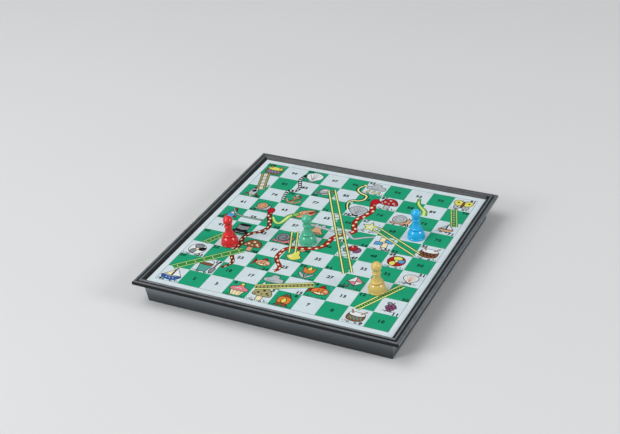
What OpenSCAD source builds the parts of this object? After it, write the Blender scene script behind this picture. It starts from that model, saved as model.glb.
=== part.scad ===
// Folding snakes and ladders board: two hollow half cases that lie flat as one board
// and fold back to back into a box for the four magnetic pawns.
// Millimetres. The origin is on the table, under the middle of the fold line.
// X runs along a row of squares, Y from the first row to the last, Z is up.

/* [Playing grid] */
// Side of one printed square
square_side = 22; // [16:0.5:30]
// Squares along each edge, an even number so that the fold falls between two rows
squares_per_edge = 10; // [8:2:12]
// Blank margin of the sheet outside the squares
sheet_margin = 6; // [3:0.5:12]
// Thickness of the printed sheet
sheet_t = 0.3; // [0.2:0.05:0.6]
// Thickness of the steel plate under the sheet
steel_t = 0.5; // [0.3:0.05:0.8]
// Play between the recess wall and the edges of the sheet and the plate
sheet_play = 0.15; // [0.1:0.05:0.3]

/* [Frame moulding] */
// Height of the playing surface above the table
play_z = 21.4; // [18:0.2:32]
// Width of the frame, from its outer edge to the recess of the sheet
frame_w = 9.3; // [8.6:0.1:12]
// Radius of the rounded outer lip
lip_r = 2.1; // [1.6:0.1:2.4]
// Rise of the outer lip above the playing surface
lip_rise = 2.3; // [1.8:0.1:2.8]
// Rise of the groove floor between the lip and the bead
groove_rise = 1.1; // [0.4:0.1:1.4]
// Radius of the raised bead
bead_r = 1.4; // [1.2:0.1:1.8]
// Rise of the bead's crest above the playing surface
bead_rise = 2.7; // [2.2:0.1:3.6]
// Distance from the recess wall out to the middle of the bead
bead_set_out = 3.5; // [2.8:0.1:4]
// Radius of the frame's outer corners, seen from above
frame_corner_r = 1; // [0.5:0.1:3]

/* [Case walls] */
// Distance from the frame's outer edge in to the top of the skirt
skirt_inset = 7.3; // [5:0.1:7.5]
// How far the skirt leans in from its top to its rim
skirt_lean = 2; // [0.5:0.1:3]
// Wall thickness of the skirt
skirt_wall = 2; // [1.2:0.1:2.4]
// Thickness of the top plate under the steel
plate_wall = 2; // [1.2:0.1:3]
// Thickness of the wall along the fold line
seam_wall = 2; // [1.2:0.1:2.8]
// Gap between the two halves along the fold line
seam_gap = 0.3; // [0.2:0.05:0.6]
// Thickness of the divider in the middle of each half
divider_t = 1.6; // [1:0.1:3]
// Distance from the rim up to the divider's edge
divider_rise = 0.5; // [0.3:0.1:3]

/* [Stiffening ribs] */
// Thickness of a rib under the top plate
rib_t = 1.2; // [0.8:0.1:2]
// Depth of a rib below the top plate
rib_depth = 2.4; // [1:0.1:4]
// Ribs along the rows in each half
long_ribs = 2; // [1:1:4]
// Ribs across the rows on each side of the divider
cross_ribs = 2; // [1:1:4]

/* [Fold hinge] */
// Height of the hinge pins above the rims
pivot_z = 3; // [2.9:0.1:4]
// Distance of each hinge from the middle of the board
hinge_x = 78; // [30:1:80]
// Diameter of a hinge pin
pin_d = 2; // [1.5:0.1:2.5]
// Width of a hinge link along the fold line
link_w = 8; // [5:0.5:14]
// Radius of a link's round ends
link_r = 2.5; // [2:0.1:2.7]
// Height of the waist between a link's round ends
link_waist = 3.6; // [2:0.1:4]
// Width of each ear that holds a pin
ear_w = 4; // [3:0.5:8]
// Play between a link and the ears beside it
link_play = 0.25; // [0.15:0.05:0.5]
// Play between a link and the top of its notch
notch_play = 0.6; // [0.4:0.1:1.5]
// Radial clearance of a pin in a link
link_fit = 0.05; // [0.03:0.01:0.09]
// Radial clearance of a pin in the ears
ear_fit = 0.02; // [0.01:0.01:0.04]

/* [Closure magnets] */
// Diameter of a closure magnet
closure_d = 6; // [4:0.5:8]
// Thickness of a closure magnet
closure_t = 3; // [2:0.5:5]
// Depth of a magnet's face inside the rim
closure_recess = 0.2; // [0.1:0.05:0.5]
// Wall of the boss round a closure magnet
boss_wall = 1.6; // [1.4:0.1:3]
// Material between the magnet's pocket and the skirt
boss_web = 1; // [0.6:0.1:1.3]
// Radial clearance round every glued magnet
magnet_fit = 0.05; // [0.03:0.01:0.1]

/* [Pawns] */
// Height of a pawn
pawn_h = 29; // [27:0.5:36]
// Radius of the foot
foot_r = 8.2; // [8:0.1:9]
// Radius of the foot's rounded edge
foot_edge_r = 1.1; // [0.8:0.1:1.4]
// Radius at the bottom of the dome above the foot
dome_r = 7.8; // [7.4:0.1:8]
// Height of the crease where the dome meets the ring
crease_z = 8.7; // [7.8:0.1:9.2]
// Radius of the pawn at the crease
crease_r = 5.5; // [5.2:0.1:5.8]
// Radius of the ring's rounded edge
ring_edge_r = 1.2; // [0.9:0.1:1.4]
// Radius of the neck
neck_r = 3.1; // [2.7:0.1:3.3]
// Height at which the flare runs into the neck
neck_z = 16.9; // [15.4:0.1:17.4]
// Height of the middle of the collar
collar_z = 18.5; // [18:0.1:19]
// Radius of the collar's rounded edge
collar_edge_r = 0.8; // [0.5:0.1:0.9]
// Radius of the collar
collar_r = 3.9; // [3.6:0.1:4.1]
// Radius of the head
head_r = 4.5; // [4.2:0.1:4.9]
// Diameter of a pawn's magnet
pawn_magnet_d = 8; // [5:0.5:10]
// Thickness of a pawn's magnet
pawn_magnet_t = 2; // [1:0.5:3]
// Depth of the magnet's face inside the foot
pawn_magnet_recess = 0.1; // [0.05:0.05:0.3]

/* [Hidden] */

// Overrun of every cut past the face that it starts from
cut_over = 1;
// Share of the bead's radius at which the slope beside it ends
graze_share = 0.9;
// Segments of the round shapes in a preview
$fn = 96;

// Places of the pawns in shares of the grid's side, from the first square's outer corner
red_place_shares = [0.158, 0.331];
green_place_shares = [0.458, 0.45];
yellow_place_shares = [0.859, 0.231];
blue_place_shares = [0.858, 0.643];

// Board
grid_side = squares_per_edge * square_side;
recess_half = grid_side / 2 + sheet_margin;
half_side = recess_half + frame_w;
seam_y = seam_gap / 2;
plate_top = play_z - sheet_t - steel_t;
plate_bottom = plate_top - plate_wall;

// Frame moulding, in distances from the frame's outer edge
bead_v = frame_w - bead_set_out;
bead_z = play_z + bead_rise - bead_r;
lip_z = play_z + lip_rise - lip_r;
lip_bottom = lip_z - lip_r;
groove_z = play_z + groove_rise;

// Skirt
rim_inset = skirt_inset + skirt_lean;
mitre_depth = max(frame_w, rim_inset + skirt_wall);

// Hinge
pivot_y = seam_y + pivot_z;
ear_span = link_w + 2 * link_play + 2 * ear_w;
notch_top = pivot_z + link_r + notch_play;

// Closure magnets
boss_r = closure_d / 2 + boss_wall;
boss_inset = rim_inset + skirt_wall + boss_web + closure_d / 2;
boss_half = half_side - boss_inset;

// Pawn
foot_h = 2 * foot_edge_r;
head_z = pawn_h - head_r;

// Distance from the frame's outer edge to the skirt's outer face at height z
function skirt_v(z) = skirt_inset + skirt_lean * (lip_bottom - z) / lip_bottom;

// Distance from the frame's outer edge to the middle of the skirt's wall at height z
function skirt_mid(z) = skirt_v(z) + skirt_wall / 2;

// Point a little inside a circle round mid, beside where a line from foot would touch it
function grazing_point(foot, mid, r) =
    let (
        d = norm(mid - foot),
        heading = atan2(foot[1] - mid[1], foot[0] - mid[0]) + acos(r / d)
    )
    mid + graze_share * r * [cos(heading), sin(heading)];

// Radius of an arc that stands upright at its foot and has moved in by run after rise
function upright_arc_r(run, rise) = (run * run + rise * rise) / (2 * run);

// Cross-section of the frame moulding: distance in from the outer edge, height
module frame_profile() {
    recess_foot = [frame_w, play_z];
    bead_mid = [bead_v, bead_z];
    translate([lip_r, lip_z])
        circle(r = lip_r);
    translate([lip_r, lip_bottom])
        square([bead_v - lip_r, groove_z - lip_bottom]);
    translate(bead_mid)
        circle(r = bead_r);
    translate([bead_v - bead_r, lip_bottom])
        square([bead_r, bead_z - lip_bottom]);
    polygon([
        [bead_v, lip_bottom],
        [frame_w, lip_bottom],
        recess_foot,
        grazing_point(recess_foot, bead_mid, bead_r),
        bead_mid
    ]);
    translate([skirt_mid(lip_bottom), plate_bottom])
        square([frame_w - skirt_mid(lip_bottom), play_z - plate_bottom]);
}

// Cross-section of the skirt, run up into the frame
module skirt_profile() {
    top = (lip_bottom + play_z) / 2;
    polygon([
        [skirt_v(top), top],
        [skirt_v(0), 0],
        [skirt_v(0) + skirt_wall, 0],
        [skirt_v(top) + skirt_wall, top]
    ]);
}

// Cross-section of one whole rail
module rail_profile() {
    frame_profile();
    skirt_profile();
}

// Length of a cross-section along X, with its outer edge on Y = 0 and the board on +Y
module run_along_x(length) {
    rotate([90, 0, 90])
        linear_extrude(height = length, center = true)
            children();
}

// Length of a cross-section along the left edge, from the front to the fold
module run_along_left() {
    translate([-half_side, -seam_y, 0])
        rotate([90, 0, 0])
            linear_extrude(height = half_side - seam_y)
                children();
}

// Plan of the front rail, cut to a mitre at each end
module front_mitre() {
    polygon([
        [-half_side, -half_side],
        [half_side, -half_side],
        [half_side - mitre_depth, -half_side + mitre_depth],
        [-half_side + mitre_depth, -half_side + mitre_depth]
    ]);
}

// Plan of the left rail, cut to a mitre at the corner and square at the fold
module left_mitre() {
    polygon([
        [-half_side, -half_side],
        [-half_side + mitre_depth, -half_side + mitre_depth],
        [-half_side + mitre_depth, -seam_y],
        [-half_side, -seam_y]
    ]);
}

// Outline of one half from above, with its two outer corners rounded
module half_plan() {
    corner_mid = half_side - frame_corner_r;
    translate([-half_side, -corner_mid])
        square([2 * half_side, corner_mid - seam_y]);
    translate([-corner_mid, -half_side])
        square([2 * corner_mid, half_side - seam_y]);
    for (side = [-1, 1])
        translate([side * corner_mid, -corner_mid])
            circle(r = frame_corner_r);
}

// Mitred moulding and skirt round three sides of one half
module rails() {
    top = play_z + bead_rise + cut_over;
    intersection() {
        union() {
            intersection() {
                translate([0, -half_side, 0])
                    run_along_x(2 * half_side)
                        rail_profile();
                linear_extrude(height = top)
                    front_mitre();
            }
            for (side = [0, 1])
                mirror([side, 0, 0])
                    intersection() {
                        run_along_left()
                            rail_profile();
                        linear_extrude(height = top)
                            left_mitre();
                    }
        }
        linear_extrude(height = top)
            half_plan();
    }
}

// Flat plate that carries the steel and the sheet
module top_plate() {
    reach = half_side - skirt_mid(plate_top);
    translate([-reach, -reach, plate_bottom])
        cube([2 * reach, reach - seam_y, plate_wall]);
}

// Upright wall along the fold line, as wide as the leaning skirt at every height
module fold_wall() {
    low = half_side - skirt_mid(0);
    high = half_side - skirt_mid(plate_top);
    translate([0, -seam_y, 0])
        rotate([90, 0, 0])
            linear_extrude(height = seam_wall)
                polygon([[-low, 0], [low, 0], [high, plate_top], [-high, plate_top]]);
}

// Wall between the two compartments of one half
module divider() {
    seam_mid = -seam_y - seam_wall / 2;
    run_along_x(divider_t)
        polygon([
            [seam_mid, divider_rise],
            [seam_mid, plate_top],
            [-half_side + skirt_mid(plate_top), plate_top],
            [-half_side + skirt_mid(divider_rise), divider_rise]
        ]);
}

// Low ribs under the top plate
module ribs() {
    reach = half_side - skirt_mid(plate_bottom);
    seam_mid = seam_y + seam_wall / 2;
    rib_z = plate_bottom - rib_depth;
    for (i = [1 : long_ribs])
        translate([-reach, -i * reach / (long_ribs + 1) - rib_t / 2, rib_z])
            cube([2 * reach, rib_t, rib_depth + plate_wall / 2]);
    for (side = [-1, 1], i = [1 : cross_ribs])
        translate([side * i * reach / (cross_ribs + 1) - rib_t / 2, -reach, rib_z])
            cube([rib_t, reach - seam_mid, rib_depth + plate_wall / 2]);
}

// Round bosses in the outer corners, for the closure magnets
module bosses() {
    for (side = [-1, 1])
        translate([side * boss_half, -boss_half, 0])
            cylinder(r = boss_r, h = plate_top - plate_wall / 2);
}

// Pockets for the closure magnets, open at the rim
module closure_pockets() {
    for (side = [-1, 1])
        translate([side * boss_half, -boss_half, -cut_over])
            cylinder(r = closure_d / 2 + magnet_fit, h = cut_over + closure_recess + closure_t);
}

// Pair of rounded ears at each hinge
module ears() {
    for (side = [-1, 1])
        translate([side * hinge_x, 0, 0])
            run_along_x(ear_span) {
                translate([-pivot_y, pivot_z])
                    circle(r = pivot_z);
                translate([-pivot_y, 0])
                    square([pivot_z, 2 * pivot_z]);
            }
}

// Notch between each pair of ears, open at the fold line and at the rim
module link_notches() {
    for (side = [-1, 1])
        translate([side * hinge_x - link_w / 2 - link_play, -pivot_y - pivot_z - cut_over, -cut_over])
            cube([link_w + 2 * link_play, pivot_y + pivot_z + 2 * cut_over, notch_top + cut_over]);
}

// Bores through the ears
module pin_bores() {
    for (side = [-1, 1])
        translate([side * hinge_x, -pivot_y, pivot_z])
            rotate([0, 90, 0])
                cylinder(d = pin_d + 2 * ear_fit, h = ear_span + 2 * cut_over, center = true);
}

// Corner that the rim loses along the fold line, so that the halves roll past each other
module fold_corner_cut() {
    run_along_x(2 * half_side)
        difference() {
            translate([-pivot_y, -cut_over])
                square([pivot_y + cut_over, pivot_z + cut_over]);
            translate([-pivot_y, pivot_z])
                circle(r = pivot_z);
        }
}

// One half case, on the front side of the fold line
module half_case() {
    difference() {
        union() {
            rails();
            top_plate();
            fold_wall();
            divider();
            ribs();
            bosses();
            ears();
        }
        closure_pockets();
        link_notches();
        pin_bores();
        fold_corner_cut();
    }
}

// Flat layer in the recess of one half, on the front side of the fold line
module recess_layer(z_low, thickness) {
    reach = recess_half - sheet_play;
    translate([-reach, -reach, z_low])
        cube([2 * reach, reach - seam_y, thickness]);
}

// Double-ended link of one hinge
module hinge_link(x) {
    translate([x, 0, pivot_z])
        run_along_x(link_w)
            difference() {
                union() {
                    square([2 * pivot_y, link_waist], center = true);
                    for (side = [-1, 1])
                        translate([side * pivot_y, 0])
                            circle(r = link_r);
                }
                for (side = [-1, 1])
                    translate([side * pivot_y, 0])
                        circle(d = pin_d + 2 * link_fit);
            }
}

// Steel pin through both ears and the link between them
module hinge_pin(x, y) {
    translate([x, y, pivot_z])
        rotate([0, 90, 0])
            cylinder(d = pin_d, h = ear_span, center = true);
}

// Disc magnet in the rim
module closure_magnet(x, y) {
    translate([x, y, closure_recess])
        cylinder(d = closure_d, h = closure_t);
}

// Half of the pawn's section: foot, dome, ring, flare, neck, collar and head
module pawn_profile() {
    dome_arc_r = upright_arc_r(dome_r - crease_r, crease_z - foot_h);
    ring_z = crease_z + ring_edge_r;
    flare_r = crease_r - ring_edge_r / 2;
    flare_rise = neck_z - ring_z;
    flare_arc_r = upright_arc_r(flare_r - neck_r, flare_rise);
    intersection() {
        square([foot_r, pawn_h]);
        union() {
            square([foot_r - foot_edge_r, foot_h]);
            translate([foot_r - foot_edge_r, foot_edge_r])
                circle(r = foot_edge_r);
            intersection() {
                translate([dome_r - dome_arc_r, foot_h])
                    circle(r = dome_arc_r);
                square([dome_r, crease_z]);
            }
            square([crease_r - ring_edge_r, ring_z + ring_edge_r]);
            translate([crease_r - ring_edge_r, ring_z])
                circle(r = ring_edge_r);
            difference() {
                translate([0, ring_z])
                    square([flare_r, flare_rise]);
                translate([neck_r + flare_arc_r, neck_z])
                    circle(r = flare_arc_r);
            }
            square([neck_r, head_z]);
            translate([collar_r - collar_edge_r, collar_z])
                circle(r = collar_edge_r);
            translate([0, head_z])
                circle(r = head_r);
        }
    }
}

// Place of a pawn's foot on the playing surface
function pawn_place(shares) = [
    (shares[0] - 0.5) * grid_side,
    (shares[1] - 0.5) * grid_side,
    play_z
];

// One pawn, with a pocket in its foot for the magnet
module pawn(shares) {
    translate(pawn_place(shares))
        difference() {
            rotate_extrude()
                pawn_profile();
            translate([0, 0, -cut_over])
                cylinder(
                    d = pawn_magnet_d + 2 * magnet_fit,
                    h = cut_over + pawn_magnet_recess + pawn_magnet_t
                );
        }
}

// Disc magnet in a pawn's foot
module pawn_magnet(shares) {
    translate(pawn_place(shares) + [0, 0, pawn_magnet_recess])
        cylinder(d = pawn_magnet_d, h = pawn_magnet_t);
}

module front_case() {
    color([0.16, 0.19, 0.21])
        half_case();
}

module rear_case() {
    color([0.16, 0.19, 0.21])
        mirror([0, 1, 0])
            half_case();
}

module front_steel_plate() {
    color([0.66, 0.68, 0.7])
        recess_layer(plate_top, steel_t);
}

module rear_steel_plate() {
    color([0.66, 0.68, 0.7])
        mirror([0, 1, 0])
            recess_layer(plate_top, steel_t);
}

module front_printed_sheet() {
    color([0.82, 0.87, 0.89])
        recess_layer(play_z - sheet_t, sheet_t);
}

module rear_printed_sheet() {
    color([0.82, 0.87, 0.89])
        mirror([0, 1, 0])
            recess_layer(play_z - sheet_t, sheet_t);
}

module hinge_link_left() {
    color([0.13, 0.15, 0.17])
        hinge_link(-hinge_x);
}

module hinge_link_right() {
    color([0.13, 0.15, 0.17])
        hinge_link(hinge_x);
}

module steel_pin(x, y) {
    color([0.7, 0.7, 0.72])
        hinge_pin(x, y);
}

module nickel_magnet(x, y) {
    color([0.75, 0.75, 0.77])
        closure_magnet(x, y);
}

module plain_magnet(shares) {
    color([0.3, 0.3, 0.32])
        pawn_magnet(shares);
}

module red_pawn() {
    color([0.76, 0.1, 0.12])
        pawn(red_place_shares);
}

module green_pawn() {
    color([0.25, 0.66, 0.5])
        pawn(green_place_shares);
}

module yellow_pawn() {
    color([0.85, 0.72, 0.3])
        pawn(yellow_place_shares);
}

module blue_pawn() {
    color([0.1, 0.55, 0.85])
        pawn(blue_place_shares);
}

front_case();
rear_case();
front_steel_plate();
rear_steel_plate();
front_printed_sheet();
rear_printed_sheet();
hinge_link_left();
hinge_link_right();
steel_pin(-hinge_x, -pivot_y);  // front_hinge_pin_left
steel_pin(hinge_x, -pivot_y);  // front_hinge_pin_right
steel_pin(-hinge_x, pivot_y);  // rear_hinge_pin_left
steel_pin(hinge_x, pivot_y);  // rear_hinge_pin_right
nickel_magnet(-boss_half, -boss_half);  // front_closure_magnet_left
nickel_magnet(boss_half, -boss_half);  // front_closure_magnet_right
nickel_magnet(-boss_half, boss_half);  // rear_closure_magnet_left
nickel_magnet(boss_half, boss_half);  // rear_closure_magnet_right
red_pawn();
plain_magnet(red_place_shares);  // red_pawn_magnet
green_pawn();
plain_magnet(green_place_shares);  // green_pawn_magnet
yellow_pawn();
plain_magnet(yellow_place_shares);  // yellow_pawn_magnet
blue_pawn();
plain_magnet(blue_place_shares);  // blue_pawn_magnet
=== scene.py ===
"""Looks of a folding snakes and ladders board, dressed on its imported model.

Lengths are in metres unless a name says otherwise. The print is laid out in squares:
(0, 0) is the outer corner of square 1, u runs along the first row and v to the last.
"""
from math import cos, pi, radians, sin

import bmesh
import bpy
import numpy
from mathutils import Matrix, Vector
from mathutils.geometry import delaunay_2d_cdt


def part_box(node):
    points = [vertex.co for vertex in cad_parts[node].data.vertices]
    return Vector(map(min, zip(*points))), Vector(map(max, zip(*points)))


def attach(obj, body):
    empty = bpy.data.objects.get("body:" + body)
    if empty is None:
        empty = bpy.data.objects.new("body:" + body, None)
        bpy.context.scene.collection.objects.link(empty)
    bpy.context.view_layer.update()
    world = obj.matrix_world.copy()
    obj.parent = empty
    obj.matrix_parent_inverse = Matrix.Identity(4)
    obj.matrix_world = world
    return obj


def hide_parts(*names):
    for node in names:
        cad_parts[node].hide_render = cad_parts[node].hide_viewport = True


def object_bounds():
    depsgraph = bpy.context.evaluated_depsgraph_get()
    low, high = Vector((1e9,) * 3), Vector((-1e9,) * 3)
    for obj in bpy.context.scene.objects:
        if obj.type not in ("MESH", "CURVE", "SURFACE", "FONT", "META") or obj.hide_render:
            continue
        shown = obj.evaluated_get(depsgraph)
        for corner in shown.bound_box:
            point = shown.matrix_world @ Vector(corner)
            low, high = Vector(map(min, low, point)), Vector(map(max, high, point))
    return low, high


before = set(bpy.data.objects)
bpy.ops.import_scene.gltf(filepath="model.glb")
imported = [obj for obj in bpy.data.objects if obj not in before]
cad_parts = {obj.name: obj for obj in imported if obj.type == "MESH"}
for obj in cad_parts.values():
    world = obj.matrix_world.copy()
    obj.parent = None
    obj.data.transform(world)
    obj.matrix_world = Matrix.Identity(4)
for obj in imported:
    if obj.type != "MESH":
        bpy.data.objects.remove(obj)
cad_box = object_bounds()

MM = 0.001
HALVES = ("front", "rear")

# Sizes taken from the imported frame: the side of the printed sheet, the margin round the
# squares on it, one square's side, and how far the board's edges lie from its middle
sheet_low, sheet_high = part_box("front_printed_sheet")
SHEET_SIDE = sheet_high.x - sheet_low.x
SHEET_MARGIN = 5.85 * MM
SQUARES = 10
SQUARE = (SHEET_SIDE - 2 * SHEET_MARGIN) / SQUARES
BOARD_EDGE = (cad_box[1].x - cad_box[0].x) / 2

# Camera of the photograph, fitted to the corners of the grid
PHOTO_WIDTH = 620
FOCAL_PIXELS = 1258.1
SENSOR_WIDTH_MM = 36
CAMERA_AT = Vector((437.7, -861.8, 628.9)) * MM
CAMERA_FORWARD = Vector((-0.3954, 0.7591, -0.5172))
CAMERA_UP = Vector((-0.1799, 0.4882, 0.8540))
CAMERA_REACH = (0.05, 20)

# Studio: each lamp has its direction from the board, its distance, side and power in watts
LAMPS = (
    ("left_softbox", (-0.537, -0.718, 0.447), 2.6, 0.84, 22.4),
    ("right_softbox", (0.896, 0.028, 0.447), 2.6, 0.84, 22.4),
    ("top_softbox", (-0.38, -0.25, 0.89), 2.4, 1.8, 25.6),
)
WORLD_LIGHT = 0.3
FLOOR_SIDE = 12.0
FLOOR_CELLS = 8
FLOOR_DROP = 0.02 * MM
FLOOR_COLOUR = (226, 227, 228)

# Inks of the print, as red, green and blue of 255
INKS = {
    "paper": (211, 226, 232),
    "margin": (216, 230, 236),
    "green": (29, 160, 118),
    "black": (20, 21, 24),
    "white": (232, 236, 238),
    "grey": (134, 142, 146),
    "silver": (182, 190, 194),
    "crimson": (194, 22, 44),
    "red": (172, 36, 32),
    "maroon": (126, 38, 30),
    "umber": (74, 28, 20),
    "cream": (240, 228, 182),
    "yellow": (228, 222, 104),
    "straw": (232, 242, 154),
    "khaki": (168, 162, 112),
    "olive": (70, 78, 34),
    "pine": (16, 58, 44),
    "moss": (38, 112, 52),
    "sage": (160, 214, 136),
    "lime": (140, 194, 96),
    "leaf": (52, 140, 62),
    "teal": (84, 164, 152),
    "sky": (84, 160, 212),
    "blue": (46, 92, 168),
    "orange": (224, 128, 62),
    "tan": (216, 164, 126),
    "brown": (132, 84, 54),
    "pink": (222, 134, 142),
    "mauve": (138, 78, 120),
}

# The case's plastic: the skirt's darker and paler patches and its painted shade, the rim, where it
# is worn paler with painted highlights, and the painted shade of the deep hollows
SKIRT_COLOURS = ((130, 140, 147), (140, 150, 157))
SKIRT_SHADE = (14, 17, 20)
RIM_COLOUR = (12, 15, 19)
RUBBED_AND_HIGHLIGHT_COLOUR = (112, 121, 127)
PAINTED_HOLLOW_SHADE = (6, 8, 10)
HOLLOW_SHADE_REACH = 9 * MM
EDGE_RADIUS = 0.3 * MM

# Colours and least roughness of the metals
PLATE_STEEL = ((150, 154, 158), 0.3)
PIN_STEEL = ((190, 192, 196), 0.18)
MAGNET_NICKEL = ((200, 196, 188), 0.15)
METAL_SPREAD = 0.12

# Base colours of the pawns
PAWN_COLOURS = {
    "red": (228, 32, 38),
    "green": (76, 190, 154),
    "yellow": (226, 196, 110),
    "blue": (24, 183, 247),
}

# Where the rim's crests are painted paler, worn and with painted highlights: inwards from the
# board's edge, and how much
CREST_WEAR_AND_HIGHLIGHT = (
    (0.0 * MM, 0.0),
    (0.5 * MM, 0.0),
    (1.0 * MM, 0.35),
    (1.6 * MM, 0.8),
    (2.3 * MM, 0.7),
    (3.1 * MM, 0.1),
    (4.6 * MM, 0.0),
    (5.1 * MM, 0.7),
    (5.5 * MM, 1.0),
    (6.0 * MM, 0.9),
    (6.5 * MM, 0.1),
    (7.4 * MM, 0.0),
    (9.3 * MM, 0.0),
)
# The paler crests, worn and with painted highlights, lie a little to the right of the crests and
# behind them, where the light falls
HIGHLIGHT_SHIFT = (("X", -0.4 * MM), ("Y", -0.1 * MM))
# The right edge carries a painted reflection: it sets in and is full at these distances from it,
# ends at this one from the front, and is this strong
RIGHT_REFLECTION_FROM = 3.4 * MM
RIGHT_REFLECTION_TO = 2.0 * MM
RIGHT_REFLECTION_END = 2.0 * MM
RIGHT_REFLECTION_STRENGTH = 0.9
# The front face of the lip and the right inner wall shine least: the face's depth, how far the
# wall lies from the right edge at most and how far any wall lies from its own edge at least
DULL_FACE = 1.0 * MM
DULL_WALL = 9.8 * MM
WALL_INWARD = 6.5 * MM

# How pale the skirt is at its heights: a painted shadow below the lip's dark corner, and painted
# shade darker towards the bottom
SKIRT_PAINTED_SHADE = (
    (0.0 * MM, 0.22),
    (5.0 * MM, 0.24),
    (7.0 * MM, 0.3),
    (9.1 * MM, 0.42),
    (11.4 * MM, 0.58),
    (14.0 * MM, 0.8),
    (15.5 * MM, 0.7),
    (17.5 * MM, 0.12),
    (19.5 * MM, 0.05),
)
LIP_BOTTOM = 19.5 * MM
# The front skirt gets painted shade, losing this share of its tone towards its right end; the right
# skirt gets painted light, gaining this
FRONT_PAINTED_SHADE = 0.42
RIGHT_PAINTED_LIGHT = 0.16
# How blurred the limits of the rim and of the dull places are
EDGE_BLUR = 0.1 * MM
# How strong each finer layer of a noise is beside the one before it
NOISE_ROUGHNESS = 0.6

# Drawing of the print, in squares
MERGE_DISTANCE = 1e-5
CURVE_STEPS = 5
PEN_OUTLINE = 0.028
PICTURE_SIZE = 0.94
LONGEST_MITRE = 2.5
BAR_OUTLINES = 1.4
BORDER_WIDTH = 0.02
DIGIT_HEIGHT = 0.2
DIGIT_WEIGHT = 0.055
DIGIT_PITCH = 0.145
DIGIT_CURVE_STEPS = 3
NUMBER_MIDDLE = (0.5, 0.52)
CORNER_INSET = (0.17, 0.11)

# Where a number stands aside for a picture, a snake or a ladder; the rest are centred
NUMBER_CORNERS = {
    (0, 0): (1, 28, 34, 42, 52, 56, 60, 62, 75, 76, 84),
    (1, 0): (9, 11, 15, 16, 21, 24, 30, 38, 44, 47, 53, 54, 55, 58, 64, 71, 73, 80, 81),
    (0, 1): (4, 12, 14, 20, 22, 26, 40, 49, 51, 67, 78, 87, 95, 98, 100),
    (1, 1): (5, 6, 19, 31, 36, 90, 91),
}

# Each kind of ladder: its filling, rails, their edges, rungs and their edges
LEAFY = ("leaf", "sage", "moss", "cream", "pine")
BRIGHT = ("moss", "straw", "moss", "sage", "pine")
OPEN = (None, "straw", "olive", "leaf", None)
WORN = ("khaki", "straw", "olive", "olive", None)
PALE = ("silver", "khaki", "olive", "cream", None)
# Each ladder's foot and top, its widths there, the pitch and width of its rungs, and its kind
LADDERS = (
    ((0.24, 0.96), (2.33, 3.07), (0.26, 0.26), 0.33, 0.03, LEAFY),
    ((0.54, 3.02), (1.0, 3.87), (0.22, 0.22), 0.17, 0.025, LEAFY),
    ((4.3, 3.6), (3.7, 5.1), (0.25, 0.25), 0.2, 0.03, OPEN),
    ((4.02, 0.85), (6.15, 1.8), (0.25, 0.25), 0.14, 0.04, WORN),
    ((8.3, 0.93), (9.4, 2.95), (0.2, 0.2), 0.12, 0.035, BRIGHT),
    ((7.04, 3.0), (3.72, 8.73), (0.34, 0.28), 0.22, 0.05, OPEN),
    ((9.09, 5.21), (6.79, 6.47), (0.28, 0.26), 0.25, 0.05, OPEN),
    ((9.76, 7.7), (9.27, 9.03), (0.22, 0.22), 0.13, 0.03, LEAFY),
    ((0.7, 7.72), (0.28, 9.1), (0.29, 0.29), 0.28, 0.1, PALE),
)
RAIL_WIDTH = 0.055
LADDER_OUTLINE = 0.032

# Snakes, in squares
SNAKE_OUTLINE = 0.034
THICK_OUTLINE = 0.055
BAND_GAP = 0.17
# In shares of the body's width
BELLY_SHARE = 0.36
SPOT_SIDE = 0.24
SPOT_HALF_WIDTH = 0.3
# In shares of the gap between two marks
SPOT_HALF_LENGTH = 0.27
BAND_LENGTH = 0.42
# The neck's width fades out over one part in so many, and the tail's sets in at one in so many
NECK_PARTS = 5
TAIL_PARTS = 2
# In shares of the head's size
HEAD_FORWARD = 0.2
HEAD_HALVES = (0.45, 0.6)
EYE_SIDE = 0.16
EYE_FORWARD = 0.3
EYE_RADIUS = 0.06


def linear(ink):
    """An ink's colour as a shader wants it."""
    shares = (level / 255 for level in ink)
    return tuple(s / 12.92 if s <= 0.04045 else ((s + 0.055) / 1.055) ** 2.4 for s in shares) + (1,)


# Flat drawing


def smooth(points, closed=False):
    """Points of a curve through the given ones, by Catmull and Rom's rule."""
    points = [Vector(point) for point in points]
    last = len(points)
    if not closed:
        points = [points[0]] + points + [points[-1]]
    curve = []
    for start in range(last if closed else last - 1):
        a, b, c, d = (points[(start + i) % len(points)] for i in range(4))
        for step in range(CURVE_STEPS):
            t = step / CURVE_STEPS
            bend = (2 * a - 5 * b + 4 * c - d) * t**2
            twist = (3 * b - a - 3 * c + d) * t**3
            curve.append(0.5 * (2 * b + (c - a) * t + bend + twist))
    if not closed:
        curve.append(points[-1])
    return curve


def oval(x, y, across, up, turn=0, count=20):
    """Points of an ellipse by its half widths, turned by some degrees."""
    turned = Matrix.Rotation(radians(turn), 2)
    corners = []
    for i in range(count):
        angle = 2 * pi * i / count
        corners.append(Vector((x, y)) + turned @ Vector((across * cos(angle), up * sin(angle))))
    return corners


def grown(outline, by):
    """The outline moved outwards by a distance, with its longest mitres cut short."""
    count = len(outline)
    area = sum(outline[i - 1].cross(outline[i]) for i in range(count))
    side = 1 if area > 0 else -1
    moved = []
    for i, point in enumerate(outline):
        before = (point - outline[i - 1]).normalized()
        after = (outline[(i + 1) % count] - point).normalized()
        normals = [Vector((way.y, -way.x)) * side for way in (before, after)]
        middle = normals[0] + normals[1]
        reach = min(2 / max(middle.length_squared, 1e-6), LONGEST_MITRE / max(middle.length, 1e-3))
        moved.append(point + middle * reach * by)
    return moved


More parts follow.
